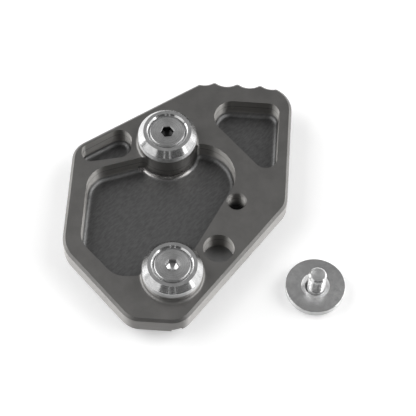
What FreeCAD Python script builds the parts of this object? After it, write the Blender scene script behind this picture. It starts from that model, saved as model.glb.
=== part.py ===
import FreeCAD, Part
import math
import os
import Sketcher

# A foot enlarger for a motorbike's kickstand: a milled plate whose pocket takes the stand's foot, and
# three clamp washers that countersunk screws hold over its rim. Two clamps are fitted on raised bosses.
# The third lies upside down beside the plate, and its tapped hole is open.
#
# The frame: millimetres, +Z up. The origin is the centre of the plate's underside, X runs along the
# plate's short straight edges and Y along its two parallel sides. The plate and the loose clamp lie on z = 0.

# Driving dimensions: alias, millimetres, meaning. A place is given from the plate's edges, so that the
# pockets, holes and clamps keep their rims where the plate changes: left and right are its two parallel
# sides, top its scalloped edge, bottom the edge opposite.
DIMENSIONS = [
    ("plate_width", 74.0, "between the two parallel sides"),
    ("plate_length", 95.0, "bottom edge to the crests of the scalloped edge"),
    ("plate_thickness", 12.0, "underside to land"),
    ("wall_height", 6.6, "land to the lower edge of the upright side wall"),
    ("edge_chamfer", 0.9, "round the land"),
    ("slant_angle", 35.63, "degrees, from the bottom edge to the slanted edge at the upper left"),
    ("top_edge_left", 31.3, "corner where the scalloped edge starts, from the right"),
    ("left_side_bottom", 25.0, "corner below the left side, from the bottom"),
    ("bottom_edge_left", 24.6, "left corner of the bottom edge, from the left"),
    ("bottom_edge_right", 32.0, "right corner of the bottom edge, from the right"),
    ("right_side_bottom", 46.8, "corner below the right side, from the bottom"),
    ("corner_radius", 8.0, "most corners of the plate"),
    ("left_corner_radius", 12.0, "corner below the left side"),
    ("top_corner_radius", 10.0, "corner beside the scallops"),
    ("scallop_count", 4, "grip scallops in the top edge"),
    ("scallop_pitch", 8.0, "from scallop to scallop"),
    ("scallop_radius", 6.0, "of the cutter"),
    ("scallop_depth", 1.2, "crest to valley"),
    ("scallop_first", 31.4, "middle of the first scallop, from the right"),
    ("pocket_depth", 7.3, "every pocket and the round recess"),
    ("pocket_fillet", 1.9, "round each pocket's floor"),
    ("foot_left", 5.9, "foot pocket: left wall, from the left"),
    ("foot_left_top", 2.8, "foot pocket: corner above the left wall, below the slot's lower left corner"),
    ("foot_left_bottom", 27.9, "foot pocket: corner below the left wall, from the bottom"),
    ("foot_bottom_x", 18.7, "foot pocket: lowest corner, from the left"),
    ("foot_bottom_y", 15.4, "foot pocket: lowest corner, from the bottom"),
    ("foot_top_x", 11.9, "foot pocket: corner before the large lobe is rounded, from the right"),
    ("foot_top_y", 28.0, "foot pocket: corner before the large lobe is rounded, from the top"),
    ("foot_below_upper", 3.7, "foot pocket: its left edge passes this far below the upper clamp's axis"),
    ("foot_above_upper", 1.5, "foot pocket: its right edge passes this far above the upper clamp's axis"),
    ("foot_beside_lower", 2.0, "foot pocket: its edges meet this far right of the lower clamp's axis"),
    ("foot_left_radius", 9.0, "foot pocket: corner above the left wall"),
    ("foot_lower_radius", 8.0, "foot pocket: corner below the left wall, and the lowest corner"),
    ("foot_lobe_radius", 12.6, "foot pocket: large lobe"),
    ("foot_cutter_radius", 2.4, "foot pocket: where a straight wall runs into a boss"),
    ("side_left", 35.8, "side pocket: left corner, from the right"),
    ("side_top", 7.7, "side pocket: upper wall, from the top"),
    ("side_right", 4.2, "side pocket: right wall, from the right"),
    ("side_bottom", 40.0, "side pocket: lower corner before rounding, from the top"),
    ("side_left_radius", 6.6, "side pocket: left corner"),
    ("side_right_radius", 4.0, "side pocket: the two corners on the right"),
    ("slot_rim", 2.0, "tapered slot: its upper edge, straight below the plate's slanted edge"),
    ("slot_left", 3.0, "tapered slot: left side, from the left"),
    ("slot_left_height", 6.4, "tapered slot: left side, before its corners are rounded"),
    ("slot_beside_upper", 12.2, "tapered slot: right side to the upper clamp's axis"),
    ("slot_below_upper", 6.6, "tapered slot: lower right corner, this far below the upper clamp's axis"),
    ("slot_tip_radius", 2.4, "tapered slot: upper left corner"),
    ("slot_left_radius", 3.4, "tapered slot: lower left corner"),
    ("slot_right_radius", 4.3, "tapered slot: the two corners on the right"),
    ("recess_x", 22.0, "round recess, from the right"),
    ("recess_y", 28.4, "round recess, from the bottom"),
    ("recess_radius", 5.2, "round recess"),
    ("nick_back", 1.8, "nick in the side wall's lower edge: this far left of the bottom right corner"),
    ("nick_rise", 0.4, "nick: this far above the bottom edge"),
    ("nick_width", 3.6, "nick: along the edge"),
    ("nick_height", 1.3, "nick: up the wall"),
    ("nick_depth", 1.0, "nick: into the wall"),
    ("nick_turn", 20.0, "nick: degrees from the bottom edge"),
    ("upper_clamp_x", 42.1, "axis of the upper clamp, from the right"),
    ("upper_clamp_y", 26.3, "axis of the upper clamp, from the top"),
    ("lower_clamp_x", 36.6, "axis of the lower clamp, from the right"),
    ("lower_clamp_y", 17.4, "axis of the lower clamp, from the bottom"),
    ("open_hole_gap", 4.0, "tapped hole of the loose clamp: its axis right of the foot pocket's right edge"),
    ("open_hole_y", 46.9, "tapped hole of the loose clamp: its axis, from the bottom"),
    ("loose_clamp_x", 10.8, "where the third clamp lies, right of the right side"),
    ("loose_clamp_y", 20.8, "where the third clamp lies, from the bottom"),
    ("loose_screw_shift", 0.3, "how far the loose screw stands off the middle of its washer"),
    ("boss_radius", 9.8, "raised seat under a clamp washer"),
    ("boss_height", 2.4, "land to the washer's seat"),
    ("boss_fillet", 1.2, "foot of the boss"),
    ("thread_radius", 3.0, "M6, as a plain bore"),
    ("thread_mouth", 0.4, "chamfer at a tapped hole's mouth"),
    ("thread_gap", 0.05, "screw's shank to the bore"),
    ("washer_radius", 10.0, "clamp washer"),
    ("washer_thickness", 4.7, "clamp washer"),
    ("washer_rim", 2.4, "height of its upright rim"),
    ("washer_top_radius", 8.2, "of its flat top"),
    ("washer_round", 0.2, "rounding of the rim's two edges"),
    ("washer_bore_radius", 3.4, "clearance hole for the screw"),
    ("washer_mouth_radius", 4.7, "cone in the washer's underside, where the bore opens"),
    ("washer_mouth_depth", 0.8, "of that cone"),
    ("countersink_radius", 7.0, "mouth of the washer's 90 degree countersink"),
    ("head_radius", 6.1, "screw head"),
    ("head_rim", 0.25, "height of the head's upright rim"),
    ("screw_length", 12.3, "head top to shank end"),
    ("shank_chamfer", 0.7, "at the shank's end"),
    ("socket_width", 4.0, "across the hexagon's flats"),
    ("socket_depth", 2.6, "hexagon socket"),
    ("socket_mouth_radius", 2.85, "shallow cone round the hexagon"),
    ("socket_mouth_depth", 1.4, "of that cone, at the axis"),
    ("upper_socket_turn", 11.0, "degrees, where the screw's tightening left the hexagon"),
    ("lower_socket_turn", 2.0, "degrees"),
    ("loose_socket_turn", 20.0, "degrees"),
]


def from_left(alias):
    return f"(-Sizes.plate_width / 2 + Sizes.{alias})"


def from_right(alias):
    return f"(Sizes.plate_width / 2 - Sizes.{alias})"


def from_top(alias):
    return f"(Sizes.plate_length / 2 - Sizes.{alias})"


def from_bottom(alias):
    return f"(-Sizes.plate_length / 2 + Sizes.{alias})"


def level_on(start, end, x):
    """The height, y, at x on the straight line through two points, all as expressions."""
    return f"({start[1]} + ({x} - {start[0]}) * ({end[1]} - {start[1]}) / ({end[0]} - {start[0]}))"


def reach_on(start, end, y):
    """The place, x, at height y on the straight line through two points, all as expressions."""
    return f"({start[0]} + ({y} - {start[1]}) * ({end[0]} - {start[0]}) / ({end[1]} - {start[1]}))"


LEFT = "(-Sizes.plate_width / 2)"
RIGHT = "(Sizes.plate_width / 2)"
TOP = "(Sizes.plate_length / 2)"
BOTTOM = "(-Sizes.plate_length / 2)"

# The axes of the three clamps. The loose one lies outside the plate, to the right of it.
AXES = {
    "upper": (from_right("upper_clamp_x"), from_top("upper_clamp_y")),
    "lower": (from_right("lower_clamp_x"), from_bottom("lower_clamp_y")),
    "loose": ("(Sizes.plate_width / 2 + Sizes.loose_clamp_x)", from_bottom("loose_clamp_y")),
}

# The plate's slanted edge, beside the tapered slot, from its lower left end to its upper right one.
SLANTED_EDGE = [
    (LEFT, f"({TOP} - (Sizes.plate_width - Sizes.top_edge_left) * tan(Sizes.slant_angle))"),
    (from_right("top_edge_left"), TOP),
]


def slot_top(x):
    """The height, y, of the tapered slot's upper edge at x."""
    return f"({level_on(*SLANTED_EDGE, x)} - Sizes.slot_rim)"


# The tapered slot's two left corners, before they are rounded.
SLOT_UPPER_LEFT = (from_left("slot_left"), slot_top(from_left("slot_left")))
SLOT_LOWER_LEFT = (SLOT_UPPER_LEFT[0], f"({SLOT_UPPER_LEFT[1]} - Sizes.slot_left_height)")

# The foot pocket's right edge, from where it meets the lowest one, under a clamp, to the large lobe.
FOOT_RIGHT_EDGE = [
    (f"({AXES['lower'][0]} + Sizes.foot_beside_lower)", AXES["lower"][1]),
    (from_right("foot_top_x"), from_top("foot_top_y")),
]

# The tapped hole that stands open, close beside that edge.
OPEN_HOLE = (
    f"({reach_on(*FOOT_RIGHT_EDGE, from_bottom('open_hole_y'))} + Sizes.open_hole_gap)",
    from_bottom("open_hole_y"),
)

# The clamps that are fitted, on bosses.
SEATED = ("upper", "lower")

LAND = "Sizes.plate_thickness"
BOSS_TOP = "(Sizes.plate_thickness + Sizes.boss_height)"
FLOOR = "(Sizes.plate_thickness - Sizes.pocket_depth)"
# Above a washer's underside: where the fitted screw head's cone starts, as wide as the countersink there,
# and the head's top.
CONE_TOP = "(Sizes.washer_thickness - (Sizes.countersink_radius - Sizes.head_radius))"
HEAD_TOP = f"({CONE_TOP} + Sizes.head_rim)"
# Two lengths are the same, and a curve is level or upright, within this many millimetres.
SAME = 1e-4
UP = FreeCAD.Vector(0, 0, 1)
# A cylinder's seam lies on +X. The bosses' seams are turned to -Y, away from where walls run into them.
SEAM_TURN = -90
HEXAGON_SIDES = 6

doc = FreeCAD.newDocument("foot_enlarger")


def make_sheet():
    sheet = doc.addObject("Spreadsheet::Sheet", "Sizes")
    for row, (alias, value, meaning) in enumerate(DIMENSIONS, start=1):
        sheet.set(f"A{row}", meaning)
        sheet.set(f"B{row}", str(value))
        sheet.setAlias(f"B{row}", alias)
    doc.recompute()
    return sheet


sheet = make_sheet()


def size(expression):
    """The present value of an expression in the sheet's sizes."""
    return float(sheet.evalExpression(expression))


def new_body(label):
    body = doc.addObject("PartDesign::Body", label)
    body.Label = label
    return body


def origin_plane(body, role):
    return next(item for item in body.Origin.OriginFeatures if item.Role == role)


def new_sketch(body, name, role="XY_Plane", height=None):
    """A sketch on one of the body's own origin planes, lifted to a height given as an expression."""
    sketch = body.newObject("Sketcher::SketchObject", name)
    sketch.AttachmentSupport = [(origin_plane(body, role), "")]
    sketch.MapMode = "FlatFace"
    if height:
        sketch.setExpression("AttachmentOffset.Base.z", height)
    return sketch


def bind(sketch, constraint, expression):
    """Add a dimension and tie it to the sheet."""
    index = sketch.addConstraint(constraint)
    sketch.setExpression(f"Constraints[{index}]", expression)


def fix_point(sketch, geometry, point, x, y):
    """Tie a point's place to two expressions. Places are signed, from the sketch's origin."""
    bind(sketch, Sketcher.Constraint("DistanceX", -1, 1, geometry, point, size(x)), x)
    bind(sketch, Sketcher.Constraint("DistanceY", -1, 1, geometry, point, size(y)), y)


def draw_circle(sketch, x, y, radius):
    centre = FreeCAD.Vector(size(x), size(y), 0)
    circle = sketch.addGeometry(Part.Circle(centre, UP, size(radius)))
    fix_point(sketch, circle, 3, x, y)
    bind(sketch, Sketcher.Constraint("Radius", circle, size(radius)), radius)


def corner_arc(before, corner, after, radius):
    """Where a rounded corner leaves one edge and joins the next, and the arc between."""
    back = (before - corner).normalize()
    ahead = (after - corner).normalize()
    half = back.getAngle(ahead) / 2
    start = corner + back * (radius / math.tan(half))
    end = corner + ahead * (radius / math.tan(half))
    middle_way = (back + ahead).normalize()
    middle = corner + middle_way * (radius / math.sin(half) - radius)
    return start, middle, end


def draw_outline(sketch, corners):
    """A closed outline of straight edges. Each corner is x, y and a radius, or None where it stays sharp.

    A rounded corner keeps its own point, where its two edges would meet, and that point has the place.
    """
    points = [FreeCAD.Vector(size(x), size(y), 0) for x, y, radius in corners]
    count = len(corners)
    arcs = []
    starts = []
    ends = []
    for i, (x, y, radius) in enumerate(corners):
        if radius is None:
            arcs.append(None)
            ends.append(points[i])
            starts.append(points[i])
            continue
        end, middle, start = corner_arc(points[i - 1], points[i], points[(i + 1) % count], size(radius))
        arcs.append(Part.Arc(end, middle, start))
        ends.append(end)
        starts.append(start)
    # Line i runs from corner i to the next one.
    lines = []
    for i in range(count):
        lines.append(sketch.addGeometry(Part.LineSegment(starts[i], ends[(i + 1) % count])))
    for i, (x, y, radius) in enumerate(corners):
        line_in = lines[i - 1]
        line_out = lines[i]
        if radius is None:
            sketch.addConstraint(Sketcher.Constraint("Coincident", line_in, 2, line_out, 1))
            fix_point(sketch, line_out, 1, x, y)
            continue
        arc = sketch.addGeometry(arcs[i])
        # An arc is stored anticlockwise, so the end that meets the edge before it is looked up.
        start_is_in = sketch.getPoint(arc, 1).distanceToPoint(ends[i]) < SAME
        arc_in, arc_out = (1, 2) if start_is_in else (2, 1)
        sketch.addConstraint(Sketcher.Constraint("Tangent", line_in, 2, arc, arc_in))
        sketch.addConstraint(Sketcher.Constraint("Tangent", arc, arc_out, line_out, 1))
        corner = sketch.addGeometry(Part.Point(points[i]), True)
        sketch.addConstraint(Sketcher.Constraint("PointOnObject", corner, 1, line_in))
        sketch.addConstraint(Sketcher.Constraint("PointOnObject", corner, 1, line_out))
        fix_point(sketch, corner, 1, x, y)
        bind(sketch, Sketcher.Constraint("Radius", arc, size(radius)), radius)


def finish_feature(body, feature, cuts=False):
    """Make the feature the body's tip, recompute, and make sure that a cut took something away."""
    body.Tip = feature
    doc.recompute()
    if not feature.isValid() or feature.Shape.isNull() or not feature.Shape.isValid():
        raise RuntimeError(f"{feature.Name} failed")
    if cuts and feature.Shape.Volume > feature.BaseFeature.Shape.Volume - SAME:
        raise RuntimeError(f"{feature.Name} cuts nothing")
    return feature


def pad(body, name, sketch, length):
    feature = body.newObject("PartDesign::Pad", name)
    feature.Profile = sketch
    feature.setExpression("Length", length)
    return finish_feature(body, feature)


def pocket(body, name, sketch, depth):
    """Cut downwards from the sketch."""
    feature = body.newObject("PartDesign::Pocket", name)
    feature.Profile = sketch
    feature.setExpression("Length", depth)
    return finish_feature(body, feature, cuts=True)


def hole_through(body, name, sketch):
    feature = body.newObject("PartDesign::Pocket", name)
    feature.Profile = sketch
    feature.Type = "ThroughAll"
    return finish_feature(body, feature, cuts=True)


def revolve(body, name, sketch):
    feature = body.newObject("PartDesign::Revolution", name)
    feature.Profile = sketch
    feature.ReferenceAxis = (sketch, ["V_Axis"])
    return finish_feature(body, feature)


def edges_where(feature, test):
    """Names of the feature's edges that pass a test."""
    return [f"Edge{i}" for i, edge in enumerate(feature.Shape.Edges, start=1) if test(edge)]


def level_at(edge, height):
    box = edge.BoundBox
    return abs(box.ZMin - height) < SAME and abs(box.ZMax - height) < SAME


def is_ring(edge, radius, x=0.0, y=0.0):
    """True for a circle or an arc about an upright axis at x, y."""
    curve = edge.Curve
    if not isinstance(curve, Part.Circle) or abs(curve.Radius - radius) > SAME:
        return False
    return math.hypot(curve.Center.x - x, curve.Center.y - y) < SAME


def round_edges(body, name, feature, edges, radius):
    fillet = body.newObject("PartDesign::Fillet", name)
    fillet.Base = (feature, edges)
    fillet.setExpression("Radius", radius)
    return finish_feature(body, fillet)


def chamfer_edges(body, name, feature, edges, width):
    chamfer = body.newObject("PartDesign::Chamfer", name)
    chamfer.Base = (feature, edges)
    chamfer.setExpression("Size", width)
    return finish_feature(body, chamfer)


def plate_blank(body):
    """The slab: its outline, the bevel under the side wall, the scallops and the chamfer round the land."""
    corner = "Sizes.corner_radius"
    outline = new_sketch(body, "PlateOutline")
    draw_outline(outline, [
        (RIGHT, TOP, "Sizes.top_corner_radius"),
        (*SLANTED_EDGE[1], None),
        (*SLANTED_EDGE[0], corner),
        (LEFT, from_bottom("left_side_bottom"), "Sizes.left_corner_radius"),
        (from_left("bottom_edge_left"), BOTTOM, corner),
        (from_right("bottom_edge_right"), BOTTOM, corner),
        (RIGHT, from_bottom("right_side_bottom"), corner),
    ])
    slab = pad(body, "Slab", outline, LAND)
    under = edges_where(slab, lambda edge: level_at(edge, 0))
    bevel = chamfer_edges(body, "UndersideBevel", slab, under, "Sizes.plate_thickness - Sizes.wall_height")
    scallops = cut_scallops(body)
    land = size(LAND)
    rim = edges_where(scallops, lambda edge: level_at(edge, land))
    return chamfer_edges(body, "LandChamfer", scallops, rim, "Sizes.edge_chamfer")


def cut_scallops(body):
    """Finger scallops along the top edge, cut by a round cutter that runs the plate's full height."""
    cutter = new_sketch(body, "ScallopCutter", height=LAND)
    middle = f"{TOP} - Sizes.scallop_depth + Sizes.scallop_radius"
    draw_circle(cutter, from_right("scallop_first"), middle, "Sizes.scallop_radius")
    first = hole_through(body, "FirstScallop", cutter)
    row = body.newObject("PartDesign::LinearPattern", "Scallops")
    row.Originals = [first]
    row.Direction = (cutter, ["H_Axis"])
    row.setExpression("Occurrences", "Sizes.scallop_count")
    row.setExpression("Length", "Sizes.scallop_pitch * (Sizes.scallop_count - 1)")
    return finish_feature(body, row, cuts=True)


def boss_cylinder(body, name, place, base, height, kind="Additive"):
    """A cylinder of the boss's radius on a clamp's axis, added to the body or taken from it."""
    cylinder = body.newObject(f"PartDesign::{kind}Cylinder", name)
    cylinder.AttachmentSupport = [(origin_plane(body, "XY_Plane"), "")]
    cylinder.MapMode = "FlatFace"
    cylinder.AttachmentOffset = FreeCAD.Placement(FreeCAD.Vector(), FreeCAD.Rotation(UP, SEAM_TURN))
    cylinder.setExpression("AttachmentOffset.Base.x", AXES[place][0])
    cylinder.setExpression("AttachmentOffset.Base.y", AXES[place][1])
    cylinder.setExpression("AttachmentOffset.Base.z", base)
    cylinder.setExpression("Radius", "Sizes.boss_radius")
    cylinder.setExpression("Height", height)
    return finish_feature(body, cylinder, cuts=kind == "Subtractive")


def clamp_axes():
    return [(size(AXES[place][0]), size(AXES[place][1])) for place in SEATED]


def add_bosses(body):
    """Raised round seats for two clamps, each with a fillet at its foot."""
    for place in SEATED:
        seats = boss_cylinder(body, f"BossSeat_{place}", place, LAND, "Sizes.boss_height")
    land = size(LAND)
    radius = size("Sizes.boss_radius")
    feet = edges_where(seats, lambda edge: level_at(edge, land)
                       and any(is_ring(edge, radius, x, y) for x, y in clamp_axes()))
    return round_edges(body, "BossFeet", seats, feet, "Sizes.boss_fillet")


def foot_pocket_form():
    """The space that the foot pocket takes out of the plate, with its floor's fillet, as a body.

    Its straight walls bend round both bosses, and a cutter's radius joins them to the bosses' round walls.
    """
    form = new_body("foot_pocket_form")
    outline = new_sketch(form, "FootPocketOutline", height=FLOOR)
    left = from_left("foot_left")
    upper_x, upper_y = AXES["upper"]
    draw_outline(outline, [
        (left, f"{SLOT_LOWER_LEFT[1]} - Sizes.foot_left_top", "Sizes.foot_left_radius"),
        (left, from_bottom("foot_left_bottom"), "Sizes.foot_lower_radius"),
        (from_left("foot_bottom_x"), from_bottom("foot_bottom_y"), "Sizes.foot_lower_radius"),
        (*FOOT_RIGHT_EDGE[0], None),
        (*FOOT_RIGHT_EDGE[1], "Sizes.foot_lobe_radius"),
        (upper_x, f"{upper_y} + Sizes.foot_above_upper", None),
        (upper_x, f"{upper_y} - Sizes.foot_below_upper", None),
    ])
    height = "Sizes.pocket_depth + Sizes.boss_height"
    pad(form, "FootPocketPrism", outline, height)
    for place in SEATED:
        bent = boss_cylinder(form, f"BossGap_{place}", place, FLOOR, height, kind="Subtractive")
    radius = size("Sizes.boss_radius")

    def meets_boss(edge):
        """True for an upright edge between a straight wall and a boss's round wall."""
        box = edge.BoundBox
        upright = box.XLength < SAME and box.YLength < SAME
        return upright and any(abs(math.hypot(box.XMin - x, box.YMin - y) - radius) < SAME
                               for x, y in clamp_axes())

    corners = edges_where(bent, meets_boss)
    joined = round_edges(form, "CutterCorners", bent, corners, "Sizes.foot_cutter_radius")
    floor = size(FLOOR)
    round_edges(form, "FootPocketFillet", joined,
                edges_where(joined, lambda edge: level_at(edge, floor)), "Sizes.pocket_fillet")
    return form


def cut_foot_pocket(body):
    form = foot_pocket_form()
    cut = body.newObject("PartDesign::Boolean", "FootPocket")
    cut.Type = "Cut"
    cut.Group = [form]
    cut.Refine = True
    return finish_feature(body, cut, cuts=True)


def inside(box, edge):
    """True where an edge lies within a box given as x and y limits."""
    edge_box = edge.BoundBox
    x_low, x_high, y_low, y_high = box
    return (x_low < edge_box.XMin and edge_box.XMax < x_high
            and y_low < edge_box.YMin and edge_box.YMax < y_high)


def side_pocket(body):
    """The lightening pocket beside the foot pocket, a triangle with round corners."""
    outline = new_sketch(body, "SidePocketOutline", height=LAND)
    right = from_right("side_right")
    top = from_top("side_top")
    draw_outline(outline, [
        (from_right("side_left"), top, "Sizes.side_left_radius"),
        (right, from_top("side_bottom"), "Sizes.side_right_radius"),
        (right, top, "Sizes.side_right_radius"),
    ])
    return pocket_with_fillet(body, "SidePocket", outline)


def tapered_slot(body):
    """The small pocket beside the upper clamp, its upper edge parallel to the plate's slanted edge."""
    outline = new_sketch(body, "TaperedSlotOutline", height=LAND)
    upper_x, upper_y = AXES["upper"]
    right = f"({upper_x} - Sizes.slot_beside_upper)"
    draw_outline(outline, [
        (*SLOT_UPPER_LEFT, "Sizes.slot_tip_radius"),
        (*SLOT_LOWER_LEFT, "Sizes.slot_left_radius"),
        (right, f"{upper_y} - Sizes.slot_below_upper", "Sizes.slot_right_radius"),
        (right, slot_top(right), "Sizes.slot_right_radius"),
    ])
    return pocket_with_fillet(body, "TaperedSlot", outline)


def pocket_with_fillet(body, name, outline):
    cut = pocket(body, name, outline, "Sizes.pocket_depth")
    floor = size(FLOOR)
    box = outline.Shape.BoundBox
    limits = (box.XMin - SAME, box.XMax + SAME, box.YMin - SAME, box.YMax + SAME)
    edges = edges_where(cut, lambda edge: level_at(edge, floor) and inside(limits, edge))
    return round_edges(body, f"{name}Fillet", cut, edges, "Sizes.pocket_fillet")


def round_recess(body):
    circle = new_sketch(body, "RoundRecessCircle", height=LAND)
    draw_circle(circle, from_right("recess_x"), from_bottom("recess_y"), "Sizes.recess_radius")
    return pocket(body, "RoundRecess", circle, "Sizes.pocket_depth")


def tapped_holes(body):
    """Three M6 holes, right through, chamfered where they open in the land and in the underside."""
    places = [AXES["upper"], AXES["lower"], OPEN_HOLE]
    circles = new_sketch(body, "TappedHoleCircles", height=BOSS_TOP)
    for x, y in places:
        draw_circle(circles, x, y, "Sizes.thread_radius")
    holes = hole_through(body, "TappedHoles", circles)
    heights = (0.0, size(LAND))
    radius = size("Sizes.thread_radius")
    mouths = edges_where(holes, lambda edge: any(level_at(edge, height) for height in heights)
                         and any(is_ring(edge, radius, size(x), size(y)) for x, y in places))
    return chamfer_edges(body, "TappedHoleMouths", holes, mouths, "Sizes.thread_mouth")


def edge_nick(body):
    """A small nick, as knocked, in the lower edge of the side wall at the bottom right corner."""
    along = ("cos(Sizes.nick_turn)", "sin(Sizes.nick_turn)")
    place = (f"{from_right('bottom_edge_right')} - Sizes.nick_back", f"{BOTTOM} + Sizes.nick_rise")

    def corner(side, way):
        """A corner of the cut, half a width along the edge and its depth into or out of the wall."""
        x = f"{place[0]} + {side} * Sizes.nick_width / 2 * {along[0]} - {way} * Sizes.nick_depth * {along[1]}"
        y = f"{place[1]} + {side} * Sizes.nick_width / 2 * {along[1]} + {way} * Sizes.nick_depth * {along[0]}"
        return x, y, None

    height = "Sizes.plate_thickness - Sizes.wall_height + Sizes.nick_height"
    outline = new_sketch(body, "EdgeNickOutline", height=height)
    draw_outline(outline, [corner(-1, -1), corner(1, -1), corner(1, 1), corner(-1, 1)])
    return pocket(body, "EdgeNick", outline, height)


def base_plate():
    body = new_body("base_plate")
    plate_blank(body)
    add_bosses(body)
    cut_foot_pocket(body)
    side_pocket(body)
    tapered_slot(body)
    round_recess(body)
    tapped_holes(body)
    edge_nick(body)
    return body


def draw_profile(sketch, points):
    """Half a turned piece's section: straight edges between points given as radius and height."""
    draw_outline(sketch, [(radius, height, None) for radius, height in points])


def clamp_washer(label):
    """A turned washer: an upright rim, a cone to a flat top ring, and a bore that widens at both ends."""
    body = new_body(label)
    profile = new_sketch(body, f"{label}_profile", role="XZ_Plane")
    bore = "Sizes.washer_bore_radius"
    top = "Sizes.washer_thickness"
    # The countersink is 90 degrees wide, so it narrows by as much as it goes down.
    throat = f"Sizes.washer_thickness - (Sizes.countersink_radius - {bore})"
    draw_profile(profile, [
        (bore, "Sizes.washer_mouth_depth"),
        ("Sizes.washer_mouth_radius", "0"),
        ("Sizes.washer_radius", "0"),
        ("Sizes.washer_radius", "Sizes.washer_rim"),
        ("Sizes.washer_top_radius", top),
        ("Sizes.countersink_radius", top),
        (bore, throat),
    ])
    turned = revolve(body, f"{label}_turned", profile)
    radius = size("Sizes.washer_radius")
    edges = edges_where(turned, lambda edge: is_ring(edge, radius))
    round_edges(body, f"{label}_rounded", turned, edges, "Sizes.washer_round")
    return body


def clamp_screw(label, turn):
    """A countersunk screw with a hexagon socket, its head's underside in line with the countersink.

    Its frame is the washer's: z = 0 is the washer's underside, and the head's cone lies on the washer's.
    """
    body = new_body(label)
    profile = new_sketch(body, f"{label}_profile", role="XZ_Plane")
    shank = "Sizes.thread_radius - Sizes.thread_gap"
    end = f"{HEAD_TOP} - Sizes.screw_length"
    draw_profile(profile, [
        ("0", end),
        (f"{shank} - Sizes.shank_chamfer", end),
        (shank, f"{end} + Sizes.shank_chamfer"),
        (shank, f"{CONE_TOP} - (Sizes.head_radius - ({shank}))"),
        ("Sizes.head_radius", CONE_TOP),
        ("Sizes.head_radius", HEAD_TOP),
        ("Sizes.socket_mouth_radius", HEAD_TOP),
        ("0", f"{HEAD_TOP} - Sizes.socket_mouth_depth"),
    ])
    revolve(body, f"{label}_turned", profile)
    socket = new_sketch(body, f"{label}_socket_hexagon", height=HEAD_TOP)
    draw_hexagon(socket, "Sizes.socket_width / 2", turn)
    pocket(body, f"{label}_socket", socket, "Sizes.socket_depth")
    return body


def draw_hexagon(sketch, apothem, turn):
    """A hexagon about the sketch's origin, its first corner at the given turn in degrees."""
    reach = f"{apothem} / cos(180 / {HEXAGON_SIDES})"
    corners = []
    for i in range(HEXAGON_SIDES):
        angle = f"({turn} + {i} * 360 / {HEXAGON_SIDES})"
        corners.append((f"{reach} * cos({angle})", f"{reach} * sin({angle})", None))
    draw_outline(sketch, corners)


def place_clamps():
    """Three equal clamps: two on their bosses, and the loose one upside down on the ground.

    The loose screw stands on its head, which reaches the ground before its cone would reach the washer's.
    """
    flip = FreeCAD.Rotation(FreeCAD.Vector(1, 0, 0), 180)
    bodies = []
    for name, (x, y) in AXES.items():
        washer = clamp_washer(f"clamp_washer_{name}")
        screw = clamp_screw(f"clamp_screw_{name}", f"Sizes.{name}_socket_turn")
        if name in SEATED:
            heights = (BOSS_TOP, BOSS_TOP)
        else:
            washer.Placement.Rotation = flip
            screw.Placement.Rotation = flip
            heights = ("Sizes.washer_thickness", HEAD_TOP)
        for body, height in zip((washer, screw), heights):
            body.setExpression("Placement.Base.x", x)
            body.setExpression("Placement.Base.y", y)
            body.setExpression("Placement.Base.z", height)
        if name not in SEATED:
            screw.setExpression("Placement.Base.x", f"{x} + Sizes.loose_screw_shift")
        bodies += [washer, screw]
    return bodies


def check_and_export(bodies):
    doc.recompute()
    for item in doc.Objects:
        if "Invalid" in item.State or "Error" in item.State:
            raise RuntimeError(f"{item.Label} is {item.State}")
    for body in bodies:
        shape = body.Shape
        if shape.isNull() or not shape.isValid() or len(shape.Solids) != 1:
            raise RuntimeError(f"{body.Label} is not one valid solid")
    os.makedirs("parts", exist_ok=True)
    for body in bodies:
        body.Shape.exportStep(os.path.join("parts", f"{body.Label}.step"))
        print(f"{body.Label}: {body.Shape.Volume:.0f} mm3")


check_and_export([base_plate()] + place_clamps())
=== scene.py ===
import math
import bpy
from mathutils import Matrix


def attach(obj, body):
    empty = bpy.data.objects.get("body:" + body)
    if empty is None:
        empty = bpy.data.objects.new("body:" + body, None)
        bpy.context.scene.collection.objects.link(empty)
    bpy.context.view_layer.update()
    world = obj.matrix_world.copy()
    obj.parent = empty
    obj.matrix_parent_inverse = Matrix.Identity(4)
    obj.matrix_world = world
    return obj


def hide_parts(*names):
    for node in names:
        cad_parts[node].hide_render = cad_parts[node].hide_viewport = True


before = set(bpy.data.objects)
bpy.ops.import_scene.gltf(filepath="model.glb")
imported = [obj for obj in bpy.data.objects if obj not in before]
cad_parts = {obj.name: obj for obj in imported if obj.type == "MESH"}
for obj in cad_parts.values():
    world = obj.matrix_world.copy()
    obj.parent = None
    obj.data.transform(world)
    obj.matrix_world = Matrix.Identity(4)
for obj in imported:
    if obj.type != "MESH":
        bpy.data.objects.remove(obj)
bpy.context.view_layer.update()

from types import SimpleNamespace

import bmesh
import bpy
from mathutils import Matrix, Vector

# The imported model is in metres. Sizes here are in millimetres and turned into metres by MM.
# Only the lamps, the floor's size and the camera's far limit are given in metres. Angles are in degrees.
MM = 0.001

# The axes of the screws and washers, in the part's frame
UPPER_CLAMP = (-5.1, 21.2, 0.0)
LOWER_CLAMP = (0.4, -30.1, 0.0)
LOOSE_WASHER = (47.8, -26.7, 0.0)
LOOSE_SCREW = (48.1, -26.7, 0.0)

# The plate
LAND_HEIGHT = 12.0
# The pockets' walls are cut in two passes, and a fine step is left between them this far below the land.
CUTTER_STEP = 3.1
CUTTER_STEP_HALF_WIDTH = 0.22
# The step's line is painted darker by this share, as the shade that falls in it.
CUTTER_STEP_PAINTED_SHADE = 0.5
# A face that is no wall and lies this far below the land is a pocket's floor.
FLOOR_DROP = 2.5
# The cutter's marks on the floors are long streaks at this angle.
FLOOR_MARK_TURN = 40.0
FLOOR_MARK_RELIEF = 0.3
# A wall whose normal points away from the part's middle, this far out, is an outer side of the plate.
OUTER_REACH = 29.8
# The wall of the bulge under the upper clamp is smoother than the others, out to this distance.
BULGE_REACH = 10.3
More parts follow.
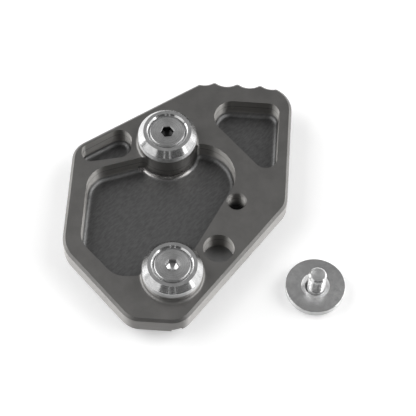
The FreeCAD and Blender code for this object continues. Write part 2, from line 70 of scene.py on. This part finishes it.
# Its foot is a fillet that is smooth enough to catch the lamps, and carries a painted highlight, inside of
# these three limits.
BULGE_FOOT_REACH = 12.0
BULGE_FOOT_HEIGHT = 6.3
BULGE_FOOT_BACK = 14.0
# The open hole has its thread as bump, and its wall is painted dark as shade, darkest below this height.
OPEN_HOLE = (19.9, -0.6, 0.0)
OPEN_HOLE_RADIUS = 3.1
OPEN_HOLE_PAINTED_SHADE_HEIGHT = 4.0
OPEN_HOLE_THREAD_RELIEF = 18.0
RECESS = (15.0, -19.1, 0.0)
RECESS_RADIUS = 5.2

# The plate's colours and roughness
PLATE_LIGHT = (0.244, 0.239, 0.232, 1.0)
PLATE_DARK = (0.210, 0.206, 0.200, 1.0)
FLOOR_LIGHT = (0.194, 0.194, 0.194, 1.0)
FLOOR_DARK = (0.148, 0.148, 0.148, 1.0)
# Painted light: the round recess's floor is lighter than the other floors, to lift the shade that its depth
# casts.
RECESS_FLOOR_PAINTED_LIGHT = (0.33, 0.33, 0.33, 1.0)
# Painted light: the walls are the same anodised metal as the land, in a lighter grey that stands in for the
# light they reflect.
INNER_WALL_PAINTED_LIGHT = (0.42, 0.41, 0.395, 1.0)
OUTER_WALL_PAINTED_LIGHT = (0.42, 0.41, 0.40, 1.0)
# Painted highlight on the front of the bulge's foot fillet.
BULGE_FOOT_PAINTED_HIGHLIGHT = (0.33, 0.32, 0.315, 1.0)
BLACK = (0.03, 0.03, 0.03, 1.0)
SATIN_ROUGHNESS = (0.42, 0.48)
BRUSHED_ROUGHNESS = (0.48, 0.58)
BULGE_ROUGHNESS = 0.34
BULGE_FOOT_ROUGHNESS = 0.27

# The screws. Heights are those of a fitted screw.
THREAD_RADIUS = 3.0
THREAD_CREST = THREAD_RADIUS - 0.05
THREAD_PITCH = 1.0
THREAD_DEPTH = 0.45
# Rings of the mesh in each turn of the thread
THREAD_STEPS = 10
# The thread gets its full depth over an eighth of its length at each end.
THREAD_END_RISE = 8.0
# It stops this far below the head.
THREAD_RUNOUT = 0.6
SCREW_END = 6.15
END_CHAMFER = 0.6
END_DIMPLE = 0.35
HEAD_RADIUS = 6.1
CONE_TOP = 18.2
HEAD_TOP = 18.95
HEAD_EDGE = 0.4
LOOSE_HEAD_TOP = 18.45
LOOSE_HEAD_EDGE = 0.2
# A head's rounded edge has one ring of points between its side and its top, at this share of its size.
EDGE_MIDDLE = 0.3
# The head's rim and the slope inside of it, down to the sunk face round the socket
RIM_WIDTH = 0.60
SLOPE_END = 1.10
FACE_SINK = 0.10
SOCKET_MOUTH_RADIUS = 2.85
SOCKET_MOUTH_SINK = 0.25
SOCKET_WIDTH = 4.0
SOCKET_FLOOR = 16.4
DRILL_DEPTH = 1.1
UPPER_SOCKET_TURN = 11.0
LOWER_SOCKET_TURN = 2.0
LOOSE_SOCKET_TURN = 20.0
# Points in each ring of the mesh, and the angle from which an edge between its faces is sharp
RING_STEPS = 96
SHARP_ANGLE = 35.0

# The turned metal: how grey, how rough and how anisotropic it is
WASHER_FINISH = {"grey": 0.70, "roughness": 0.20, "anisotropy": 0.7}
FITTED_SCREW_FINISH = {"grey": 0.60, "roughness": 0.30, "anisotropy": 0.4}
LOOSE_SCREW_FINISH = {"grey": 0.86, "roughness": 0.26, "anisotropy": 0.5}
# Its fine rings: how often they vary in a millimetre, and how much they stand out
RING_SCALE = 6.0
RING_RELIEF = 0.25
# Its upright sides
SIDE_ROUGHNESS = 0.52
SIDE_ANISOTROPY = 0.9
# A washer's bore mouth, painted near-white as a reflection, and rougher than the rest
MOUTH_RADIUS = 4.7
MOUTH_ROUGHNESS = 0.5
MOUTH_PAINTED_REFLECTION = (0.98, 0.98, 0.98, 1.0)
# The socket's area in a fitted screw's head, and the colours painted on its wall and bottom: the upper socket
# is painted dark as shade, and the lower one pale, with a white bottom, as reflected light
SOCKET_REACH = SOCKET_WIDTH / 2 + 0.35
SOCKET_WALL_HEIGHT = HEAD_TOP - 0.8
PAINTED_SHADE_SOCKET = (BLACK, BLACK)
PAINTED_LIGHT_SOCKET = ((0.45, 0.45, 0.45, 1.0), (0.98, 0.98, 0.98, 1.0))

# The camera in the part's frame
CAMERA_PLACE = (18.46, -294.4, 507.36)
CAMERA_TARGET = (10.456, -3.926, 12.0)
CAMERA_SENSOR = 36.0
CAMERA_LENS = 148.09
CAMERA_ROLL = 2.339
CAMERA_FAR_LIMIT = 20.0

# The studio
FLOOR_SIZE = 6.0
# The floor lies this far under the part, in millimetres, so that no face of the part lies in it.
FLOOR_GAP = 0.02
FLOOR_COLOUR = (0.9, 0.9, 0.9, 1.0)
FLOOR_GLOW = 0.32
WORLD_COLOUR = (0.085, 0.085, 0.085, 1.0)
WHITE = (1.0, 1.0, 1.0, 1.0)

# Each softbox: name, azimuth, elevation, distance, width, height, radiance
SOFTBOXES = [
    ("left_high", -88.0, 50.0, 1.1, 0.9, 0.6, 2.6),
    ("right_high", 90.0, 50.0, 1.1, 0.9, 0.6, 2.4),
    ("left_rear", -112.0, 20.0, 1.1, 0.85, 0.75, 2.7),
    ("left_front", -58.0, 20.0, 1.1, 0.95, 0.75, 0.8),
    ("right_front", 67.0, 20.0, 1.1, 0.20, 0.75, 2.2),
    ("right_side", 88.0, 20.0, 1.1, 0.60, 0.75, 1.0),
    ("right_rear", 120.0, 20.0, 1.1, 0.60, 0.75, 2.5),
    ("stripe_left", -6.3, 28.0, 1.1, 0.04, 0.5, 1.1),
    ("stripe_right", 12.6, 28.0, 1.1, 0.04, 0.5, 1.1),
    ("overhead", 180.0, 62.0, 1.3, 1.6, 1.2, 0.22),
]


# Small helpers for materials

def new_material(name):
    """A material with its node tree and its Principled shader."""
    material = bpy.data.materials.new(name)
    material.use_nodes = True
    tree = material.node_tree
    shader = next(node for node in tree.nodes if node.type == "BSDF_PRINCIPLED")
    return material, tree, shader


def join(tree, value, socket):
    """Link an output socket, or write a plain value."""
    if isinstance(value, bpy.types.NodeSocket):
        tree.links.new(value, socket)
    else:
        socket.default_value = value


def math_node(tree, operation, first, second=0.0, third=0.0):
    node = tree.nodes.new("ShaderNodeMath")
    node.operation = operation
    join(tree, first, node.inputs[0])
    join(tree, second, node.inputs[1])
    join(tree, third, node.inputs[2])
    return node.outputs[0]


def product(tree, *values):
    """The values multiplied together. For masks, that is the area they share."""
    result = values[0]
    for value in values[1:]:
        result = math_node(tree, "MULTIPLY", result, value)
    return result


def inverse(tree, mask):
    return math_node(tree, "SUBTRACT", 1.0, mask)


def map_range(tree, value, low, high, out_low=0.0, out_high=1.0):
    """Turn a span of values into another, smoothly, and hold its ends."""
    node = tree.nodes.new("ShaderNodeMapRange")
    node.interpolation_type = "SMOOTHSTEP"
    join(tree, value, node.inputs["Value"])
    node.inputs["From Min"].default_value = low
    node.inputs["From Max"].default_value = high
    node.inputs["To Min"].default_value = out_low
    node.inputs["To Max"].default_value = out_high
    return node.outputs["Result"]


def mask_below(tree, value, limit, blend=0.3):
    """1 where the value is below the limit, and 0 where it is more than the blend above it."""
    return map_range(tree, value, limit, limit + blend, 1.0, 0.0)


def line_at(tree, value, middle, half_width):
    """1 on a narrow line where the value is at its middle, and 0 away from it."""
    away = math_node(tree, "ABSOLUTE", math_node(tree, "SUBTRACT", value, middle))
    return mask_below(tree, away, 0.4 * half_width, blend=0.6 * half_width)


def wave_of(tree, value, period):
    """A smooth wave from 0 to 1 over each period of a value."""
    turns = math_node(tree, "MULTIPLY", value, 2.0 * math.pi / period)
    return math_node(tree, "MULTIPLY_ADD", math_node(tree, "COSINE", turns), 0.5, 0.5)


def noise(tree, vector, scale=1.0, detail=3.0, roughness=0.6):
    node = tree.nodes.new("ShaderNodeTexNoise")
    join(tree, vector, node.inputs["Vector"])
    node.inputs["Scale"].default_value = scale
    node.inputs["Detail"].default_value = detail
    node.inputs["Roughness"].default_value = roughness
    return node.outputs["Fac"]


def from_noise(tree, value, low=0.0, high=1.0):
    """Noise turned into a span of values. Most of it lies between 0.3 and 0.7."""
    return map_range(tree, value, 0.3, 0.7, low, high)


def stretched(tree, vector, scale, turn=0.0):
    """The vector turned about Z and then scaled along each axis, so that noise becomes streaks."""
    turned = tree.nodes.new("ShaderNodeMapping")
    join(tree, vector, turned.inputs["Vector"])
    turned.inputs["Rotation"].default_value = (0.0, 0.0, math.radians(turn))
    scaled = tree.nodes.new("ShaderNodeMapping")
    tree.links.new(turned.outputs["Vector"], scaled.inputs["Vector"])
    scaled.inputs["Scale"].default_value = scale
    return scaled.outputs["Vector"]


def bump(tree, height, strength, distance, normal=None):
    node = tree.nodes.new("ShaderNodeBump")
    node.inputs["Strength"].default_value = strength
    node.inputs["Distance"].default_value = distance
    join(tree, height, node.inputs["Height"])
    if normal is not None:
        tree.links.new(normal, node.inputs["Normal"])
    return node.outputs["Normal"]


def mix_colour(tree, factor, first, second):
    node = tree.nodes.new("ShaderNodeMix")
    node.data_type = "RGBA"
    # The Mix node has a set of sockets for each kind of data. These are the ones for colours.
    join(tree, factor, node.inputs["Factor"])
    join(tree, first, node.inputs[6])
    join(tree, second, node.inputs[7])
    return node.outputs[2]


def mix_value(tree, factor, first, second):
    node = tree.nodes.new("ShaderNodeMix")
    # These are the Mix node's sockets for plain numbers.
    join(tree, factor, node.inputs["Factor"])
    join(tree, first, node.inputs[2])
    join(tree, second, node.inputs[3])
    return node.outputs[0]


def split(tree, vector):
    """The three outputs x, y and z of a vector."""
    node = tree.nodes.new("ShaderNodeSeparateXYZ")
    tree.links.new(vector, node.inputs["Vector"])
    return node.outputs


def millimetres(tree):
    """The object's own coordinates, which are the part's frame, in millimetres."""
    node = tree.nodes.new("ShaderNodeVectorMath")
    node.operation = "SCALE"
    tree.links.new(tree.nodes.new("ShaderNodeTexCoord").outputs["Object"], node.inputs[0])
    node.inputs["Scale"].default_value = 1.0 / MM
    return node.outputs["Vector"]


def surface_normal(tree):
    return tree.nodes.new("ShaderNodeNewGeometry").outputs["Normal"]


def levelness(tree):
    """1 on a level face and 0 on an upright one."""
    return math_node(tree, "ABSOLUTE", split(tree, surface_normal(tree))[2])


def reach_along_normal(tree, place):
    """How far out a face stands from the part's middle, measured along its normal."""
    node = tree.nodes.new("ShaderNodeVectorMath")
    node.operation = "DOT_PRODUCT"
    tree.links.new(place, node.inputs[0])
    tree.links.new(surface_normal(tree), node.inputs[1])
    return node.outputs["Value"]


def reach_from(tree, place, axis_point):
    """Distance from an upright axis, in millimetres."""
    offset = tree.nodes.new("ShaderNodeVectorMath")
    offset.operation = "SUBTRACT"
    tree.links.new(place, offset.inputs[0])
    offset.inputs[1].default_value = axis_point
    x, y, _ = split(tree, offset.outputs["Vector"])
    squared = math_node(tree, "ADD", product(tree, x, x), product(tree, y, y))
    return math_node(tree, "SQRT", squared)


def reach_from_nearest(tree, place, axis_points):
    """Distance from the nearest of some upright axes, in millimetres."""
    reach = reach_from(tree, place, axis_points[0])
    for axis_point in axis_points[1:]:
        reach = math_node(tree, "MINIMUM", reach, reach_from(tree, place, axis_point))
    return reach


# The plate's material

def bulge_foot(tree, place, level):
    """The fillet at the foot of the bulge under the upper clamp, on its front side, where a highlight is
    painted.
    """
    _, y, z = split(tree, place)
    near = mask_below(tree, reach_from(tree, place, UPPER_CLAMP), BULGE_FOOT_REACH)
    low = mask_below(tree, z, BULGE_FOOT_HEIGHT, blend=0.4)
    slanting = mask_below(tree, level, limit=0.90, blend=0.08)
    in_front = mask_below(tree, y, BULGE_FOOT_BACK, blend=1.2)
    return product(tree, near, low, slanting, in_front)


def plate_areas(tree, place):
    """The plate's kinds of surface, as masks that are 1 on them and 0 elsewhere."""
    z = split(tree, place)[2]
    level = levelness(tree)
    wall = mask_below(tree, level, limit=0.25, blend=0.40)
    outer = map_range(tree, reach_along_normal(tree, place), OUTER_REACH - 0.3, OUTER_REACH)
    inner_wall = product(tree, wall, inverse(tree, outer))
    deep = mask_below(tree, z, LAND_HEIGHT - FLOOR_DROP, blend=1.0)
    step = line_at(tree, z, LAND_HEIGHT - CUTTER_STEP, CUTTER_STEP_HALF_WIDTH)
    bulge = mask_below(tree, reach_from(tree, place, UPPER_CLAMP), BULGE_REACH)
    return SimpleNamespace(
        wall=wall,
        outer=outer,
        floor=product(tree, deep, inverse(tree, wall)),
        recess_painted_light=mask_below(tree, reach_from(tree, place, RECESS), RECESS_RADIUS),
        step=product(tree, step, inner_wall),
        bulge=bulge,
        brushed_wall=product(tree, wall, inverse(tree, bulge)),
        foot=bulge_foot(tree, place, level),
        hole=mask_below(tree, reach_from(tree, place, OPEN_HOLE), OPEN_HOLE_RADIUS, blend=0.1),
    )


def plate_patterns(tree, place):
    """The plate's noises: fine grain, large clouds, marks on the floors and layers on the walls."""
    floor_streaks = stretched(tree, place, scale=(1.6, 0.45, 0.45), turn=FLOOR_MARK_TURN)
    wall_streaks = stretched(tree, place, scale=(0.05, 0.05, 3.2))
    return SimpleNamespace(
        grain=noise(tree, place, scale=2.6),
        cloud=noise(tree, place, scale=0.15, detail=4.0),
        marks=noise(tree, floor_streaks),
        layers=noise(tree, wall_streaks),
    )


def plate_colour(tree, height, areas, patterns):
    outside = mix_colour(tree, from_noise(tree, patterns.cloud), PLATE_DARK, PLATE_LIGHT)
    milled = mix_colour(tree, from_noise(tree, patterns.marks), FLOOR_DARK, FLOOR_LIGHT)
    # Painted light on the round recess's floor.
    floor = mix_colour(tree, areas.recess_painted_light, milled, RECESS_FLOOR_PAINTED_LIGHT)
    # Painted light: the walls get a lighter grey than the land.
    wall = mix_colour(tree, areas.outer, INNER_WALL_PAINTED_LIGHT, OUTER_WALL_PAINTED_LIGHT)
    colour = mix_colour(tree, areas.floor, outside, floor)
    colour = mix_colour(tree, areas.wall, colour, wall)
    # Painted highlight on the bulge's foot fillet.
    colour = mix_colour(tree, areas.foot, colour, BULGE_FOOT_PAINTED_HIGHLIGHT)
    # Painted shade on the cutter's step line.
    colour = mix_colour(tree, product(tree, areas.step, CUTTER_STEP_PAINTED_SHADE), colour, BLACK)
    # Painted shade in the open hole, darkest low down.
    painted_shade_low_in_hole = mask_below(tree, height, OPEN_HOLE_PAINTED_SHADE_HEIGHT, blend=5.0)
    return mix_colour(tree, product(tree, areas.hole, painted_shade_low_in_hole), colour, BLACK)


def plate_roughness(tree, areas, patterns):
    satin = from_noise(tree, patterns.grain, *SATIN_ROUGHNESS)
    brushed = from_noise(tree, patterns.layers, *BRUSHED_ROUGHNESS)
    wall = mix_value(tree, areas.bulge, brushed, BULGE_ROUGHNESS)
    roughness = mix_value(tree, areas.wall, satin, wall)
    return mix_value(tree, areas.foot, roughness, BULGE_FOOT_ROUGHNESS)


def plate_relief(tree, height, areas, patterns):
    """Bump for the grain and, over it, the marks, the layers, the cutter's step and the hole's thread."""
    grain = bump(tree, patterns.grain, strength=0.20, distance=0.02 * MM)
    marks = product(tree, patterns.marks, areas.floor, FLOOR_MARK_RELIEF)
    layers = product(tree, patterns.layers, areas.brushed_wall)
    thread = product(tree, wave_of(tree, height, THREAD_PITCH), areas.hole, OPEN_HOLE_THREAD_RELIEF)
    relief = math_node(tree, "ADD", marks, layers)
    relief = math_node(tree, "SUBTRACT", relief, areas.step)
    relief = math_node(tree, "ADD", relief, thread)
    return bump(tree, relief, strength=0.35, distance=0.03 * MM, normal=grain)


def plate_material():
    """Grey hard-anodised aluminium: satin outside, with the cutter's marks on walls and pocket floors."""
    material, tree, shader = new_material("anodised_plate")
    place = millimetres(tree)
    height = split(tree, place)[2]
    areas = plate_areas(tree, place)
    patterns = plate_patterns(tree, place)
    shader.inputs["Metallic"].default_value = 1.0
    tree.links.new(plate_colour(tree, height, areas, patterns), shader.inputs["Base Color"])
    tree.links.new(plate_roughness(tree, areas, patterns), shader.inputs["Roughness"])
    tree.links.new(plate_relief(tree, height, areas, patterns), shader.inputs["Normal"])

    # Brushed walls spread the light along their height.
    brushed = product(tree, areas.brushed_wall, inverse(tree, areas.foot))
    tree.links.new(brushed, shader.inputs["Anisotropic"])
    upright = tree.nodes.new("ShaderNodeCombineXYZ")
    upright.inputs["Z"].default_value = 1.0
    tree.links.new(upright.outputs["Vector"], shader.inputs["Tangent"])
    return material


# The washers' and screws' materials

def ring_noise(tree, reach):
    """Noise that changes only with the distance from the axis."""
    ring_place = tree.nodes.new("ShaderNodeCombineXYZ")
    tree.links.new(product(tree, reach, RING_SCALE), ring_place.inputs["X"])
    return noise(tree, ring_place.outputs["Vector"], roughness=0.7)


def worn_tone(tree, place, grey):
    """A grey that is a little darker and brighter in patches."""
    wear = noise(tree, place, scale=0.42, detail=4.0, roughness=0.65)
    darker = 0.90 * grey
    brighter = min(1.0, 1.08 * grey)
    return mix_colour(tree, from_noise(tree, wear),
                      (darker, darker, darker, 1.0), (brighter, brighter, brighter, 1.0))


def with_socket(tree, tone, reach, height, colours):
    """A fitted screw's tone, with painted shade and light on its socket's wall and bottom."""
    wall_painted_shading, bottom_painted_shading = colours
    inside = mask_below(tree, reach, SOCKET_REACH, blend=0.1)
    wall = mask_below(tree, height, SOCKET_WALL_HEIGHT, blend=0.2)
    bottom = mask_below(tree, height, SOCKET_FLOOR, blend=0.1)
    # Painted shade and light on the socket's wall and bottom.
    tone = mix_colour(tree, product(tree, inside, wall), tone, wall_painted_shading)
    return mix_colour(tree, product(tree, inside, bottom), tone, bottom_painted_shading)


def turned_material(name, finish, axis_points, socket=None, mouth=None):
    """Turned metal, with fine rings about the nearest of the given axes.

    The tangent runs about the middle of the piece's box, which is its own axis.
    socket holds the colours painted on a fitted screw's socket's wall and bottom as shade and reflected
    light, and mouth is the radius of a washer's bore mouth, which is painted near-white as a reflection.
    """
    material, tree, shader = new_material(name)
    place = millimetres(tree)
    reach = reach_from_nearest(tree, place, axis_points)
    rings = ring_noise(tree, reach)
    tone = worn_tone(tree, place, finish["grey"])
    roughness = from_noise(tree, rings, 0.8 * finish["roughness"], 1.25 * finish["roughness"])
    if socket:
        tone = with_socket(tree, tone, reach, split(tree, place)[2], socket)
    if mouth:
        # Painted reflection: the bore mouth is near-white.
        mouth_painted_reflection = mask_below(tree, reach, mouth, blend=0.1)
        tone = mix_colour(tree, mouth_painted_reflection, tone, MOUTH_PAINTED_REFLECTION)
        roughness = mix_value(tree, mouth_painted_reflection, roughness, MOUTH_ROUGHNESS)
    side = mask_below(tree, levelness(tree), limit=0.1, blend=0.3)
    tangent = tree.nodes.new("ShaderNodeTangent")
    tangent.direction_type = "RADIAL"
    tangent.axis = "Z"
    relief = bump(tree, product(tree, rings, RING_RELIEF), strength=0.3, distance=0.03 * MM)

    shader.inputs["Metallic"].default_value = 1.0
    # This is a share of a whole turn. A quarter spreads the light across the rings.
    shader.inputs["Anisotropic Rotation"].default_value = 0.25
    tree.links.new(tone, shader.inputs["Base Color"])
    tree.links.new(mix_value(tree, side, roughness, SIDE_ROUGHNESS), shader.inputs["Roughness"])
    tree.links.new(mix_value(tree, side, finish["anisotropy"], SIDE_ANISOTROPY), shader.inputs["Anisotropic"])
    tree.links.new(tangent.outputs["Tangent"], shader.inputs["Tangent"])
    tree.links.new(relief, shader.inputs["Normal"])
    return material


def dress(nodes, material):
    """Put the material on CAD pieces."""
    for node in nodes:
        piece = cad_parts[node]
        for slot in piece.material_slots:
            slot.material = material


# Screws

def circle(radius):
    return lambda angle: radius


def hexagon(width, turn):
    """Distance from the axis to a hexagon's edge, at an angle."""
    side = math.radians(60.0)

    def edge(angle):
        from_flat = (angle - math.radians(turn)) % side - side / 2
        return width / 2 / math.cos(from_flat)

    return edge


def thread_at(height, depth):
    """Distance from the axis to a right-hand thread, cut to a depth, where it passes a height."""
    def groove(angle):
        phase = 2.0 * math.pi * height / THREAD_PITCH - angle
        return THREAD_CREST - depth * (0.5 - 0.5 * math.cos(phase))

    return groove


def shank_rings():
    """Rings from the chamfered end up to the head's neck. The thread runs out before each end."""
    neck = CONE_TOP - (HEAD_RADIUS - THREAD_RADIUS)
    top = neck - THREAD_RUNOUT
    bottom = SCREW_END + END_CHAMFER
    count = round((top - bottom) / THREAD_PITCH * THREAD_STEPS)
    rings = [(circle(THREAD_RADIUS - END_CHAMFER), SCREW_END)]
    for step in range(count + 1):
        share = step / count
        depth = THREAD_DEPTH * min(1.0, share * THREAD_END_RISE, (1.0 - share) * THREAD_END_RISE)
        height = bottom + share * (top - bottom)
        rings.append((thread_at(height, depth), height))
    rings.append((circle(THREAD_CREST), neck))
    return rings


def head_rings(top, edge, socket):
    """Rings from the cone's top over the rounded edge and the sunk face, and down the socket."""
    return [
        (circle(HEAD_RADIUS), CONE_TOP),
        (circle(HEAD_RADIUS), top - edge),
        (circle(HEAD_RADIUS - EDGE_MIDDLE * edge), top - EDGE_MIDDLE * edge),
        (circle(HEAD_RADIUS - edge), top),
        (circle(HEAD_RADIUS - RIM_WIDTH), top),
        (circle(HEAD_RADIUS - SLOPE_END), top - FACE_SINK),
        (circle(SOCKET_MOUTH_RADIUS), top - FACE_SINK),
        (socket, top - SOCKET_MOUTH_SINK),
        (socket, SOCKET_FLOOR),
    ]


def lofted_mesh(name, rings, placed):
    """A screw's closed mesh over its rings, with a dimple in its end and a drilled socket bottom."""
    form = bmesh.new()
    angles = [2.0 * math.pi * step / RING_STEPS for step in range(RING_STEPS)]
    loops = []
    for reach, height in rings:
        loops.append([form.verts.new(placed(reach(angle), angle, height)) for angle in angles])
    for lower, upper in zip(loops, loops[1:]):
        for step in range(RING_STEPS):
            following = (step + 1) % RING_STEPS
            form.faces.new((lower[step], lower[following], upper[following], upper[step]))
    for loop, height in ((loops[0], SCREW_END + END_DIMPLE), (loops[-1], SOCKET_FLOOR - DRILL_DEPTH)):
        middle = form.verts.new(placed(0.0, 0.0, height))
        for step in range(RING_STEPS):
            form.faces.new((loop[step], loop[(step + 1) % RING_STEPS], middle))
    bmesh.ops.recalc_face_normals(form, faces=form.faces)
    mesh = bpy.data.meshes.new(name)
    form.to_mesh(mesh)
    form.free()
    mesh.shade_smooth()
    mesh.set_sharp_from_angle(angle=math.radians(SHARP_ANGLE))
    return mesh


def add_screw(name, node, axis, turn, head_top, edge, material, upside_down=False):
    """A countersunk screw in a CAD one's place, with its thread and its socket.

    An upside down one stands on its head on the ground.
    """
    def placed(reach, angle, height):
        level = head_top - height if upside_down else height
        return Vector((axis[0] + reach * math.cos(angle), axis[1] + reach * math.sin(angle), level)) * MM

    rings = shank_rings() + head_rings(head_top, edge, hexagon(SOCKET_WIDTH, turn))
    screw = bpy.data.objects.new(name, lofted_mesh(name, rings, placed))
    screw.data.materials.append(material)
    bpy.context.scene.collection.objects.link(screw)
    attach(screw, "root")
    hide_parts(node)


# Studio

def floor_material():
    """Pale floor. What the camera and reflections see of it gets an even glow on top of its lit colour."""
    material, tree, shader = new_material("studio_floor")
    output = next(node for node in tree.nodes if node.type == "OUTPUT_MATERIAL")
    tree.nodes.remove(shader)
    diffuse = tree.nodes.new("ShaderNodeBsdfDiffuse")
    diffuse.inputs["Color"].default_value = FLOOR_COLOUR
    emission = tree.nodes.new("ShaderNodeEmission")
    emission.inputs["Color"].default_value = WHITE
    path = tree.nodes.new("ShaderNodeLightPath")
    seen = math_node(tree, "MAXIMUM", path.outputs["Is Camera Ray"], path.outputs["Is Glossy Ray"])
    tree.links.new(product(tree, seen, FLOOR_GLOW), emission.inputs["Strength"])
    both = tree.nodes.new("ShaderNodeAddShader")
    tree.links.new(diffuse.outputs[0], both.inputs[0])
    tree.links.new(emission.outputs[0], both.inputs[1])
    tree.links.new(both.outputs[0], output.inputs["Surface"])
    return material


def add_floor():
    mesh = bpy.data.meshes.new("studio_floor")
    half = FLOOR_SIZE / 2
    corners = [(-half, -half, 0), (half, -half, 0), (half, half, 0), (-half, half, 0)]
    mesh.from_pydata(corners, [], [(0, 1, 2, 3)])
    plane = bpy.data.objects.new("studio_floor", mesh)
    bpy.context.scene.collection.objects.link(plane)
    plane.data.materials.append(floor_material())
    plane.location.z = -FLOOR_GAP * MM


def point_at(thing, place, target):
    """Put a lamp or the camera at a place and turn its -Z towards the target."""
    thing.location = place
    thing.rotation_euler = (Vector(target) - Vector(place)).to_track_quat("-Z", "Y").to_euler()


def add_softbox(name, azimuth, elevation, distance, width, height, radiance):
    """A soft rectangular lamp. Azimuth 0 is on the camera's side of the part, and 90 to its right."""
    lamp = bpy.data.lights.new(name, "AREA")
    lamp.shape = "RECTANGLE"
    lamp.size = width
    lamp.size_y = height
    # A rectangle lamp of this power looks as bright as a white wall times the radiance.
    lamp.energy = radiance * width * height * math.pi
    thing = bpy.data.objects.new(name, lamp)
    bpy.context.scene.collection.objects.link(thing)
    turn = math.radians(azimuth)
    rise = math.radians(elevation)
    level = math.cos(rise)
    direction = Vector((math.sin(turn) * level, -math.cos(turn) * level, math.sin(rise)))
    point_at(thing, direction * distance, (0.0, 0.0, 0.0))


def set_world():
    world = bpy.data.worlds.new("studio")
    bpy.context.scene.world = world
    world.use_nodes = True
    background = next(node for node in world.node_tree.nodes if node.type == "BACKGROUND")
    background.inputs["Color"].default_value = WORLD_COLOUR
    background.inputs["Strength"].default_value = 1.0


def add_camera():
    """The photograph's camera, from a fit to the washers' ellipses and the plate's straight edges."""
    camera = bpy.data.cameras.new("camera")
    camera.sensor_width = CAMERA_SENSOR
    camera.lens = CAMERA_LENS
    camera.clip_end = CAMERA_FAR_LIMIT
    thing = bpy.data.objects.new("camera", camera)
    bpy.context.scene.collection.objects.link(thing)
    point_at(thing, Vector(CAMERA_PLACE) * MM, Vector(CAMERA_TARGET) * MM)
    roll = Matrix.Rotation(math.radians(CAMERA_ROLL), 3, "Z")
    thing.rotation_euler = (thing.rotation_euler.to_matrix() @ roll).to_euler()
    bpy.context.scene.camera = thing


# The part

dress(["base_plate"], plate_material())
dress(["clamp_washer_upper", "clamp_washer_lower", "clamp_washer_loose"],
      turned_material("turned_washer", WASHER_FINISH, (UPPER_CLAMP, LOWER_CLAMP, LOOSE_WASHER),
                      mouth=MOUTH_RADIUS))
upper_material = turned_material("turned_screw_upper", FITTED_SCREW_FINISH, (UPPER_CLAMP, LOWER_CLAMP),
                                 socket=PAINTED_SHADE_SOCKET)
lower_material = turned_material("turned_screw_lower", FITTED_SCREW_FINISH, (UPPER_CLAMP, LOWER_CLAMP),
                                 socket=PAINTED_LIGHT_SOCKET)
loose_material = turned_material("turned_screw_loose", LOOSE_SCREW_FINISH, (LOOSE_SCREW,))
add_screw("fitted_screw_upper", "clamp_screw_upper", UPPER_CLAMP, UPPER_SOCKET_TURN, HEAD_TOP, HEAD_EDGE,
          upper_material)
add_screw("fitted_screw_lower", "clamp_screw_lower", LOWER_CLAMP, LOWER_SOCKET_TURN, HEAD_TOP, HEAD_EDGE,
          lower_material)
add_screw("standing_screw", "clamp_screw_loose", LOOSE_SCREW, LOOSE_SOCKET_TURN, LOOSE_HEAD_TOP,
          LOOSE_HEAD_EDGE, loose_material, upside_down=True)

# The studio round it

add_floor()
set_world()
for softbox in SOFTBOXES:
    add_softbox(*softbox)
add_camera()
bpy.context.scene.view_settings.view_transform = "Standard"
